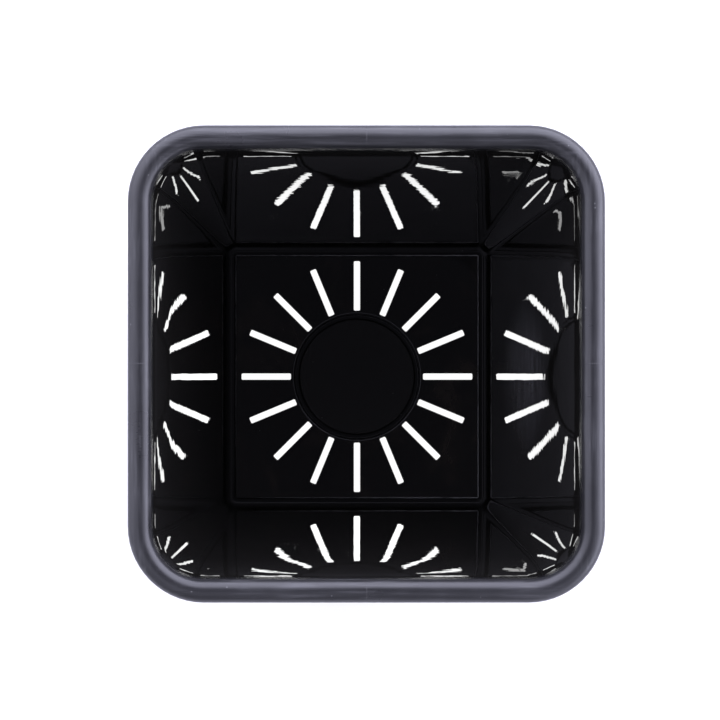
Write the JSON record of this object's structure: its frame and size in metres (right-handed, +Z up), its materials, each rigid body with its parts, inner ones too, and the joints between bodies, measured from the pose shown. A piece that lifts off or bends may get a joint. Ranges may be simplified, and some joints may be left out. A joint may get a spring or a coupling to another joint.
{
  "type": "plant pot",
  "caption": "Square moulded plastic plant pot with a rolled rim, tapered walls, a hollow foot and a raised floor with a round inner foot and radial drainage slots.",
  "frame": {"origin": "on the surface that the foot stands on, below the middle of the pot", "axes": "+Z up out of the mouth; +X and +Y square to the walls"},
  "size_m": [0.25, 0.25, 0.255],
  "materials": {
    "plastic": "black polypropylene: polished inside, satin on the rim and outside"
  },
  "bodies": {
    "root": {"pot": "plastic"}
  },
  "joints": []
}
